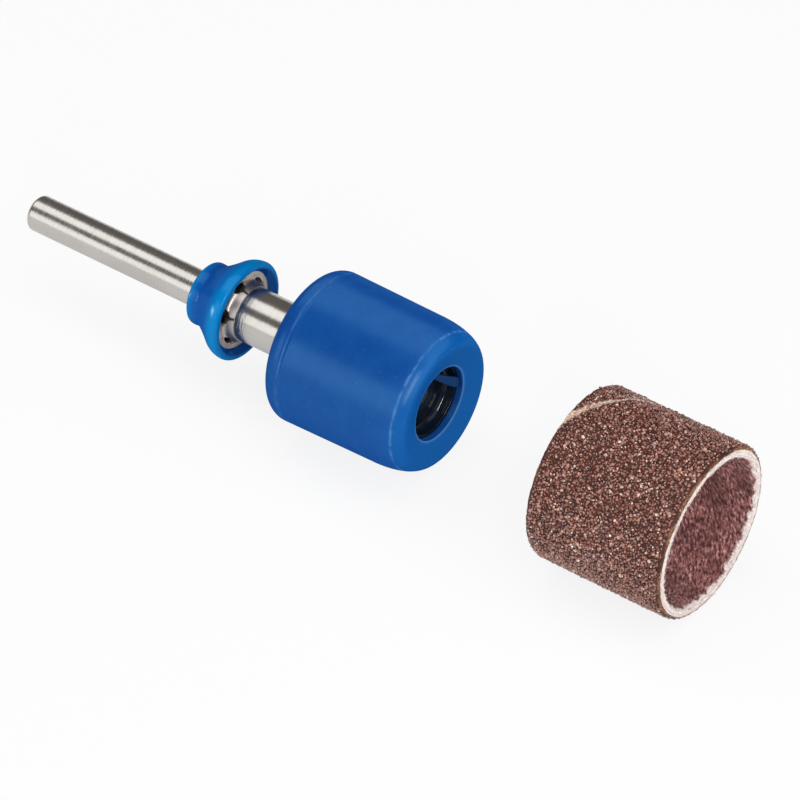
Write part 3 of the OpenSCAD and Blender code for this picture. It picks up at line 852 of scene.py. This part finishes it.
# %% Sow the grit
SPACING, JITTER, SOW_IN = 0.255, 0.36, 0.12
rng = np.random.default_rng(7)
rows, cols = int((BAND_END - BAND_START) / (SPACING * 0.88)), int(2 * math.pi * BAND_R / SPACING)
gi, gj = np.meshgrid(np.arange(rows), np.arange(cols), indexing="ij")
sow_length = BAND_END - BAND_START - 2 * SOW_IN
sow_x = BAND_START + SOW_IN + (gi + 0.5 + rng.uniform(-JITTER, JITTER, gi.shape)) * sow_length / rows
sow_a = (gj + 0.5 * (gi % 2) + rng.uniform(-JITTER, JITTER, gi.shape)) * 2 * math.pi / cols
sow_x, sow_a = sow_x.ravel(), sow_a.ravel()
size = rng.lognormal(math.log(0.14), 0.17, len(sow_x)).clip(0.09, 0.19)
lift = rng.uniform(-0.05, 0.015, len(sow_x))
seam_gap = strip_place(sow_x, sow_a)[2]
seam_bare = 0.2 + 0.22 * np.exp(-(sow_x - BAND_START) / 1.2) + 0.12 * waves(sow_x / 0.5, 0 * sow_x, 15)
clear_of_seam = (seam_gap > seam_bare + 0.1) | (seam_gap < -seam_bare)
end_gap = np.minimum(sow_x - BAND_START, BAND_END - sow_x)
size *= np.where(end_gap < 0.4, 0.7, 1.0)
kept = clear_of_seam & (rng.random(len(sow_x)) < np.where(end_gap < 0.36, 0.3, 0.97))
sow_x, sow_a, size, lift, end_gap = (each[kept] for each in (sow_x, sow_a, size, lift, end_gap))
print(f"{len(sow_x)} of {len(kept)} places keep a grain")

# %% Make the grit
sow_r = BACK_R + 0.03 + lift - ROUNDING + np.sqrt(ROUNDING**2 - np.clip(ROUNDING - end_gap, 0, None) ** 2)
sow_r = np.minimum(sow_r, BAND_R - size * 0.75)
points = grains(turn(sow_x, sow_r, sow_a), size, 8)
radius = np.hypot(points[..., 1], points[..., 2])
points[..., 1:] *= (np.minimum(radius, BAND_R) / radius)[..., None]
points[..., 0] = np.clip(points[..., 0], BAND_START, BAND_END)
faces = (trios[None] + 12 * np.arange(len(points))[:, None, None]).reshape(-1, 3)
grit = mesh_from("abrasive_grit", points.reshape(-1, 3) * MM, np.empty((0, 4), int), faces, smooth=False)
store(grit, "tint", np.repeat(rng.random(len(points)), 12)[:, None])
print(f"{len(points)} grains, {len(faces)} triangles, mean size {2 * size.mean():.2f} mm")

# %% [markdown]
# Both cloths are cotton soaked in resin. That gives the eye short streaks where threads run near the
# surface, darker blotches where the resin is thick, pale bare threads, and a fuzzy cream edge where it was
# cut. A woven texture would show a regular weave, which resin hides, so the streaks are noise stretched
# along the strip. Threads are 0.2 to 0.3 mm apart, their real spacing.

# %% Finish: resin-soaked cloth
def soaked_cloth(name, dark, light, streak_pale, thread):
    """Cotton cloth soaked in resin, with threads `thread` millimetres apart along the strip: the material,
    its tree, the soaked colour, and the streaks and fuzz it was made from."""
    material, tree = blank_finish(name)
    strip = add(tree, "Attribute", out="Vector", attribute_name="strip")
    threads = add(tree, "Mapping", {"Vector": strip, "Scale": (1 / thread, 0.36 / thread, 1)})
    streaks = add(tree, "TexNoise", {"Vector": threads, "Scale": 1.0, "Detail": 3.0, "Roughness": 0.65})
    blotch = add(tree, "MapRange", [patches(tree, 2.2, detail=3.0), 0.42, 0.62, 0.0, 0.55])
    fuzz = patches(tree, 0.16, detail=3.0, roughness=0.7)
    lit = add(tree, "MapRange", [streaks, 0.4, 0.58])
    soaked = add(tree, "Mix", {0: lit, 6: paint(dark), 7: paint(light)}, **COLOUR)
    half_fuzz = add(tree, "Math", [fuzz, 0.5], operation="MULTIPLY")
    bare = add(tree, "Math", [streaks, half_fuzz], operation="ADD")
    bare = add(tree, "MapRange", [bare, 0.82, 0.96, 0.0, 0.8])
    soaked = add(tree, "Mix", {0: bare, 6: soaked, 7: paint(streak_pale)}, **COLOUR)
    soaked = add(tree, "Mix", {0: blotch, 6: soaked, 7: paint(dark)}, **COLOUR)
    return material, tree, soaked, streaks, fuzz


# %% Finish: the backing, with its worn edges and bare seam
backing_finish, tree, soaked, streaks, fuzz = soaked_cloth(
    "cotton cloth, resin size coat", "3A1C14", "552E23", "7A4635", 0.3)
edge_near, cut_here, seam_near = (
    add(tree, "Attribute", out="Fac", attribute_name=key) for key in ("edge", "cut", "seam"))
half_fuzz = add(tree, "Math", [fuzz, 0.5], operation="MULTIPLY")
rust = add(tree, "Math", [edge_near, half_fuzz], operation="ADD")
rust = add(tree, "MapRange", [rust, 0.55, 0.95])
fuzz_rust = add(tree, "MapRange", [fuzz, 0.4, 0.62])
rusty = add(tree, "Mix", {0: fuzz_rust, 6: paint("4E301C"), 7: paint("A06C48")}, **COLOUR)
tone = add(tree, "Mix", {0: rust, 6: soaked, 7: rusty}, **COLOUR)
bites = add(tree, "Math", [patches(tree, 0.34, detail=3.0, roughness=0.7), 2.2], operation="MULTIPLY")
pale = add(tree, "Math", [seam_near, bites], operation="ADD")
pale = add(tree, "MapRange", [pale, 1.45, 1.95])
fuzz_seam = add(tree, "MapRange", [fuzz, 0.4, 0.6])
seam_tone = add(tree, "Mix", {0: fuzz_seam, 6: paint("C98E6C"), 7: paint("F0D9C8")}, **COLOUR)
tone = add(tree, "Mix", {0: pale, 6: tone, 7: seam_tone}, **COLOUR)
fuzz_cut = add(tree, "MapRange", [fuzz, 0.35, 0.65])
cotton = add(tree, "Mix", {0: fuzz_cut, 6: paint("E2D0C6"), 7: paint("F8F4F0")}, **COLOUR)
tone = add(tree, "Mix", {0: cut_here, 6: tone, 7: cotton}, **COLOUR)
dry = add(tree, "Math", [cut_here, pale], operation="MAXIMUM")
rough = add(tree, "MapRange", [dry, 0.0, 1.0, 0.55, 0.85])
normal = add(tree, "Bump", {"Height": fuzz, "Distance": 0.05 * MM})
shader = add(tree, "BsdfPrincipled", {
    "Base Color": tone, "Roughness": rough, "IOR": 1.5, "Specular IOR Level": 0.3, "Normal": normal})
add(tree, "OutputMaterial", [shader], out=None)
backing.data.materials.append(backing_finish)
print("backing finish:", backing_finish.name)

# %% [markdown]
# Brown fused aluminium oxide is broken glass, coloured by iron. That gives the eye a mix of dark and light
# brown grains, some clouded, whose flat faces flash one at a time. Refraction through nine thousand grains
# would be slow and would show little, so each grain is opaque, with one tone of its own and a hard gloss.

# %% Finish: aluminium oxide grit
grit_finish, tree = blank_finish("aluminium oxide, brown fused")
tint = add(tree, "Attribute", out="Fac", attribute_name="tint")
cloudy = patches(tree, 0.12)
ramp = add(tree, "ValToRGB", [tint], out=None)
stops = ((0.0, "52291E"), (0.3, "7A4131"), (0.65, "985B49"), (0.92, "BA8370"), (1.0, "EDCDBE"))
while len(ramp.color_ramp.elements) < len(stops):
    ramp.color_ramp.elements.new(0.5)
for element, (place, code) in zip(ramp.color_ramp.elements, stops):
    element.position, element.color = place, paint(code)
clouded = add(tree, "MapRange", [cloudy, 0.4, 0.7, 0.0, 0.4])
tone = add(tree, "Mix", {0: clouded, 6: ramp.outputs[0], 7: paint("5A302A")}, **COLOUR)
rough = add(tree, "MapRange", [cloudy, 0.3, 0.7, 0.12, 0.32])
shader = add(tree, "BsdfPrincipled", {
    "Base Color": tone, "Roughness": rough, "IOR": 1.76, "Specular IOR Level": 0.75})
add(tree, "OutputMaterial", [shader], out=None)
grit.data.materials.append(grit_finish)
for piece in (backing, grit):
    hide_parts("band_abrasive")
    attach(piece, "band")
print("grit finish:", grit_finish.name)

# %% [markdown]
# ## The liner
# The liner is the same cotton, soaked in a thinner mauve resin and not coated. Its threads follow the
# helix, so the bore shows short streaks that run nearly round it, and the two cut ends are bare, frayed
# cotton that rounds over into the bore. The backing's way of working serves again: streaky heights in the
# bore and ragged heights on the ends, all real geometry.

# %% Make the liner
LIP, THREAD_HIGH, JOINT_DEEP, END_RAGGED = 0.26, 0.06, 0.1, 0.08
lip_share = np.linspace(0, 1, CUT_ROWS)
x, r, in_bore, on_cut = ply(
    112, 0.05, BORE_R + 0.07, BORE_R + LIP + lip_share * (LINER_R - BORE_R - LIP), LINER_R)
across, along, from_seam = strip_place(x, theta, turn_off=0.5)
thread_rows = waves(across / 0.24, along / 1.5, 21) + 0.5 * waves(across / 0.12, along / 0.6, 22)
end_gap = from_end(x)
fray = np.exp(-end_gap / (0.48 + 0.34 * ring_waves(80, x * 0, 23)))
drop = LIP * np.clip(1 - end_gap / 0.34, 0, 1) ** 2
joint = JOINT_DEEP * np.exp(-((from_seam / 0.12) ** 2))
r = np.maximum(r + in_bore * (THREAD_HIGH * thread_rows + drop + joint), BORE_R)
ragged = END_RAGGED * ring_waves(240, r / 0.14, 24)
x = x + on_cut * np.sign(x - BAND_MIDDLE) * (ragged - 0.02)
liner = skin("liner_cloth_tube", turn(x, r, theta), attributes={
    "strip": np.stack([across, along], -1), "cut": np.maximum(on_cut, in_bore * fray)})

# %% [markdown]
# With less resin, the liner gives the eye a dusty mauve with pale streaks, going over to cream cotton at
# both ends in an uneven line. A little sheen stands for the fibres that lift from it.

# %% Finish: the liner's cloth
liner_finish, tree, soaked, streaks, fuzz = soaked_cloth(
    "cotton cloth, mauve resin", "4A2222", "B67672", "F2D2CC", 0.2)
cut_near = add(tree, "Attribute", out="Fac", attribute_name="cut")
most_fuzz = add(tree, "Math", [fuzz, 0.7], operation="MULTIPLY")
bare = add(tree, "Math", [cut_near, most_fuzz], operation="ADD")
bare = add(tree, "MapRange", [bare, 0.8, 1.05])
fuzz_cut = add(tree, "MapRange", [fuzz, 0.35, 0.65])
cotton = add(tree, "Mix", {0: fuzz_cut, 6: paint("DABFB7"), 7: paint("F8F2EE")}, **COLOUR)
tone = add(tree, "Mix", {0: bare, 6: soaked, 7: cotton}, **COLOUR)
some_fuzz = add(tree, "Math", [fuzz, 0.6], operation="MULTIPLY")
height = add(tree, "Math", [streaks, some_fuzz], operation="ADD")
normal = add(tree, "Bump", {"Height": height, "Distance": 0.06 * MM})
shader = add(tree, "BsdfPrincipled", {
    "Base Color": tone, "Roughness": 0.82, "IOR": 1.5, "Sheen Weight": 0.1, "Normal": normal})
add(tree, "OutputMaterial", [shader], out=None)
liner.data.materials.append(liner_finish)
print("liner finish:", liner_finish.name)

# %% [markdown]
# ## Frayed cotton
# A knife cut leaves fine fibres on both ends, lying over the edge of the bore and across the cut, and a few
# more stand out of the bare seam. Hair curves could draw them, but the exported model needs a mesh. So each
# fibre is a slim three-sided tube along a curved path of five points. Real fibres are 0.015 mm thick;
# these are drawn at about 0.045 mm so that they show.

# %% A tube along a curved path
FIBRE_RINGS, FIBRE_SIDES = 5, 3


def fibres(roots, first, second, thickness):
    """Three-sided tubes along p = root + t first + t^2 second, with t from 0 to 1 in four steps, that
    narrow to a quarter of their thickness."""
    t = np.linspace(0, 1, FIBRE_RINGS)[None, :, None]
    path = roots[:, None] + t * first[:, None] + t**2 * second[:, None]
    way = first[:, None] + 2 * t * second[:, None]
    way /= np.linalg.norm(way, axis=-1, keepdims=True)
    side = np.cross(way, np.array([0.31, 0.54, 0.78]))
    side /= np.linalg.norm(side, axis=-1, keepdims=True)
    other = np.cross(way, side)
    spoke = around(FIBRE_SIDES)[:, None]
    ring = side[:, :, None] * np.cos(spoke) + other[:, :, None] * np.sin(spoke)
    width = thickness[:, None, None, None] / 2 * (1 - 0.75 * t[..., None])
    return path[:, :, None] + ring * width


print(f"{FIBRE_RINGS * FIBRE_SIDES} points to a fibre")

# %% Place the fibres of the cut ends
END_FIBRES, FRONT_SHARE = 1500, 0.62
rng = np.random.default_rng(31)
at_front = rng.random(END_FIBRES) < FRONT_SHARE
angle = rng.uniform(0, 2 * math.pi, END_FIBRES)
root_r = rng.uniform(BORE_R + 0.12, BACK_R - 0.14, END_FIBRES)
root_x = np.where(at_front, BAND_END - 0.07, BAND_START + 0.07)
radial, tangent = turn(0, 1.0, angle), turn(0, 1.0, angle + math.pi / 2)
axial = np.where(at_front, 1.0, -1.0)[:, None] * np.array([1, 0, 0])
length = rng.uniform(0.2, 0.62, END_FIBRES)[:, None]
lean = rng.normal(0, 1, (END_FIBRES, 3))
first = length * (0.32 * axial + tangent * np.tanh(lean[:, :1]) + 0.3 * radial * lean[:, 1:2])
second = length * (-0.38 * axial + 0.3 * tangent * lean[:, 2:] - 0.18 * radial)
thickness = rng.uniform(0.03, 0.055, END_FIBRES)
end_tubes = fibres(turn(root_x, root_r, angle), first, second, thickness)
print(f"{at_front.sum()} fibres in front, {END_FIBRES - at_front.sum()} at the rear")

# %% Place the fibres of the seam
SEAM_FIBRES = 260
seam_x = rng.uniform(BAND_START + 0.1, BAND_END - 0.1, SEAM_FIBRES)
seam_angle = SEAM_ANGLE - (seam_x - BAND_START) / PITCH * 2 * math.pi
seam_out = turn(0, 1.0, seam_angle)
seam_way = np.array([math.sin(LEAN), 0, 0]) - math.cos(LEAN) * turn(0, 1.0, seam_angle + math.pi / 2)
seam_across = np.cross(seam_way, seam_out)
lean = rng.normal(0, 1, (SEAM_FIBRES, 3))
length = rng.uniform(0.25, 0.7, SEAM_FIBRES)[:, None]
root_r = BACK_R + rng.uniform(-0.04, 0.03, SEAM_FIBRES)
roots = turn(seam_x, root_r, seam_angle) + 0.1 * seam_across * lean[:, :1]
first = length * (seam_way * np.sign(lean[:, 1:2]) + 0.35 * seam_across * lean[:, 2:])
second = length * (0.12 * seam_out + 0.25 * seam_across * lean[:, :1])
thickness = rng.uniform(0.035, 0.06, SEAM_FIBRES)
seam_tubes = fibres(roots, first, second, thickness)
print(f"{SEAM_FIBRES} fibres along the seam")

# %% Make the frayed fibres
tubes = np.concatenate([end_tubes, seam_tubes])
radius = np.hypot(tubes[..., 1], tubes[..., 2])
tubes[..., 1:] *= (np.clip(radius, BORE_R + 0.005, BAND_R - 0.02) / radius)[..., None]
tubes[..., 0] = np.clip(tubes[..., 0], BAND_START - 0.08, BAND_END + 0.08)
start = np.arange(len(tubes))[:, None, None] * FIBRE_RINGS * FIBRE_SIDES
ring, spoke = np.meshgrid(np.arange(FIBRE_RINGS - 1), np.arange(FIBRE_SIDES), indexing="ij")
a = start + ring * FIBRE_SIDES + spoke
b = start + ring * FIBRE_SIDES + (spoke + 1) % FIBRE_SIDES
quads = np.stack([a, b, b + FIBRE_SIDES, a + FIBRE_SIDES], -1).reshape(-1, 4)
caps = (start + np.array([[2, 1, 0], [12, 13, 14]])).reshape(-1, 3)
thirds = np.concatenate([quads[:, :3], quads[:, [0, 2, 3]], caps])
flat_points = tubes.reshape(-1, 3) * MM
if volume(flat_points, thirds) < 0:
    quads, caps = quads[:, ::-1], caps[:, ::-1]
frayed = mesh_from("frayed_cotton_ends", flat_points, quads, caps)
print(f"{len(tubes)} fibres, {len(thirds)} triangles")

# %% [markdown]
# Bare cotton is nearly white and scatters light among its fibres. That gives the eye a matt cream with a
# faint bright rim, so a rough base with some sheen stands for it. True hair shading would suit single
# fibres, but it is meant for curves and does not go into the exported model.

# %% Finish: bare cotton
cotton_finish, tree = blank_finish("cotton, bare fibre")
patch = patches(tree, 0.5)
share = add(tree, "MapRange", [patch, 0.35, 0.65])
tone = add(tree, "Mix", {0: share, 6: paint("EAD9D2"), 7: paint("FAF6F2")}, **COLOUR)
normal = add(tree, "Bump", {"Height": patch, "Distance": 0.01 * MM})
shader = add(tree, "BsdfPrincipled", {
    "Base Color": tone, "Roughness": 0.8, "Sheen Weight": 0.3, "Normal": normal})
add(tree, "OutputMaterial", [shader], out=None)
frayed.data.materials.append(cotton_finish)
for piece in (liner, frayed):
    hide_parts("band_liner")
    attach(piece, "band")
print("cotton finish:", cotton_finish.name)

# %% [markdown]
# ## Nodes that stay
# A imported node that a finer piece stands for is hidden, and could be left without a finish. It keeps one of
# its own all the same, so that no solid of the model is ever plain.

# %% Finish the hidden nodes
for name, finish in {
        "shank_pin": shank_finish, "sleeve": sleeve_finish, "star_washer": washer_finish,
        "pull_collar": collar_finish, "front_hub": nylon_finish, "drum": rubber_finish,
        "band_abrasive": backing_finish, "band_liner": liner_finish}.items():
    nodes[name].data.materials.clear()
    nodes[name].data.materials.append(finish)
    print(f"{name}: {finish.name}")

# %% [markdown]
# ## The floor
# A studio lays white paper under small goods and bends it up behind them. Here a flat white floor just
# under the band is enough, because the world behind it is as bright as the paper. Camera and transmission
# rays see the floor nearly white, glossy rays see it dimmer, and it still takes a soft shadow. A plain
# white floor would need so much light that it washed out the object.

# %% Floor
FLOOR_Z, FLOOR_HALF = -BAND_R - 0.05, 2500
floor_points = np.array([(-1, -1, 0), (1, -1, 0), (1, 1, 0), (-1, 1, 0)]) * FLOOR_HALF + (0, 0, FLOOR_Z)
floor = mesh_from("floor", floor_points * MM, np.array([[0, 1, 2, 3]]), np.empty((0, 3), int), smooth=False)
floor_finish, tree = blank_finish("paper, white sweep")
tooth = patches(tree, 0.6)
normal = add(tree, "Bump", {"Height": tooth, "Distance": 0.01 * MM})
matt = add(tree, "BsdfDiffuse", {"Color": paint("F4F4F4"), "Normal": normal})
glow = add(tree, "Emission", {"Color": (1, 1, 1, 1), "Strength": 1.0})
ray = add(tree, "LightPath", out=None).outputs
direct = add(tree, "Math", [ray["Is Camera Ray"], ray["Is Transmission Ray"]], operation="MAXIMUM")
direct = add(tree, "Math", [direct, 0.85], operation="MULTIPLY")
mirrored = add(tree, "Math", [ray["Is Glossy Ray"], 0.4], operation="MULTIPLY")
seen = add(tree, "Math", [direct, mirrored], operation="MAXIMUM")
shader = add(tree, "MixShader", [seen, matt, glow])
add(tree, "OutputMaterial", [shader], out=None)
floor.data.materials.append(floor_finish)
print(f"floor at z {FLOOR_Z:.2f} mm")

# %% [markdown]
# ## The room
# The camera sees white all round, like the paper, while the object is lit by a mid-grey room: its grey is
# what polished steel mirrors between the lamps as dark lines. An image of a real studio could light it
# too, but a plain grey has no detail that would have to come from a file.

# %% World
world = bpy.data.worlds.new("studio room")
bpy.context.scene.world = world
world.use_nodes = True
tree = world.node_tree
tree.nodes.clear()
ray = add(tree, "LightPath", out=None).outputs
shown = add(tree, "Math", [ray["Is Camera Ray"], ray["Is Transmission Ray"]], operation="MAXIMUM")
room = add(tree, "Mix", {0: ray["Is Glossy Ray"], 6: paint("606060"), 7: paint("6E6B68")}, **COLOUR)
backdrop = add(tree, "Mix", {0: shown, 6: room, 7: (1, 1, 1, 1)}, **COLOUR)
background = add(tree, "Background", {"Color": backdrop, "Strength": 1.0})
add(tree, "OutputWorld", [background], out=None)
print("world:", world.name)

# %% [markdown]
# ## The lamps
# Nine soft rectangular lamps hang round the object, most of them along its axis, so that each throws one
# long clean highlight. One set of lamps for everything would be simpler, but dark satin rubber needs other
# light than bright steel or pale cloth before its shape shows. Light linking lets each finish be lit for
# itself, as a studio does with flags and small reflectors: the rubber has three lamps of its own, the
# collar and the cup have one each, two lamps leave the rubber out, and two light everything.

# %% Hanging, linking and making a lamp
def hang(angle, distance, x):
    """Place and turn of a lamp hung round the object's axis, facing it: angle in degrees from +Y to +Z."""
    a = math.radians(angle)
    return (x, distance * math.cos(a), distance * math.sin(a)), (angle - 90, 0, 0)


def chosen(pieces, state="INCLUDE"):
    """Light linking: a lamp given this lights only these pieces (INCLUDE) or everything else (EXCLUDE)."""
    group = bpy.data.collections.new("lamp " + state.lower())
    for piece in pieces:
        group.objects.link(piece)
    for entry in group.collection_objects:
        entry.light_linking.link_state = state
    return group


def lamp(name, place, degrees, size, radiance, colour="FFFFFF", onto=None):
    """Soft rectangular lamp of a given place, turn and size in millimetres. Its power is its brightness
    times pi times its area."""
    data = bpy.data.lights.new(name, "AREA")
    data.shape, data.size, data.size_y = "RECTANGLE", size[0] * MM, size[1] * MM
    data.energy = radiance * math.pi * size[0] * size[1] * MM**2
    data.color = paint(colour)[:3]
    made = bpy.data.objects.new(name, data)
    made.location = np.array(place) * MM
    made.rotation_euler = np.radians(degrees)
    made.visible_camera = False
    if onto is not None:
        made.light_linking.receiver_collection = onto
    bpy.context.scene.collection.objects.link(made)


# %% Hang the lamps
rubber, not_rubber = chosen([drum, web]), chosen([drum, web], "EXCLUDE")
on_collar, on_cup = chosen([collar]), chosen([hub])
lamp("overhead softbox", *hang(91, 400, -90), (1000, 300), 1.45, onto=not_rubber)
lamp("softbox behind, for the rubber", *hang(56, 400, -90), (1000, 440), 1.5, onto=rubber)
lamp("front softbox", *hang(160, 430, -190), (600, 280), 1.4)
lamp("strip beside the camera", *hang(138, 330, 258), (60, 300), 10.5, onto=not_rubber)
lamp("warm strip, for the rubber", *hang(129, 330, 258), (60, 330), 21, "FFC4AE", onto=rubber)
lamp("front softbox, for the rubber", *hang(163, 430, -120), (700, 300), 0.6, onto=rubber)
lamp("window, for the collar", *hang(171, 224, -313), (260, 80), 15, "FFDCC8", onto=on_collar)
lamp("pin strip, for the cup", *hang(132, 330, 258), (50, 260), 75, onto=on_cup)
lamp("right softbox", (430, -20, 200), (0, 62, 0), (420, 500), 1.6)

# %% [markdown]
# ## Camera
# The camera looks down at the object from the front right, from 380 mm away. A wide lens close by would
# show more of one end, but a long lens keeps the sizes of the near and far parts true to each other.

# %% Camera
AZIMUTH, ELEVATION = math.radians(36.13), math.radians(41.06)
AIM, DISTANCE, LENS, SENSOR = (38.5, -0.7, -0.85), 380, 211.5, 36.0
view_way = np.array([math.sin(AZIMUTH) * math.cos(ELEVATION), -math.cos(AZIMUTH) * math.cos(ELEVATION),
                     math.sin(ELEVATION)])
camera_data = bpy.data.cameras.new("camera")
camera_data.lens, camera_data.sensor_width = LENS, SENSOR
camera = bpy.data.objects.new("camera", camera_data)
camera.location = (np.array(AIM) + view_way * DISTANCE) * MM
camera.rotation_euler = (math.pi / 2 - ELEVATION, 0, AZIMUTH)
bpy.context.scene.collection.objects.link(camera)
bpy.context.scene.camera = camera
bpy.context.scene.view_settings.view_transform = "Standard"
print(f"{LENS} mm lens, {DISTANCE} mm away")
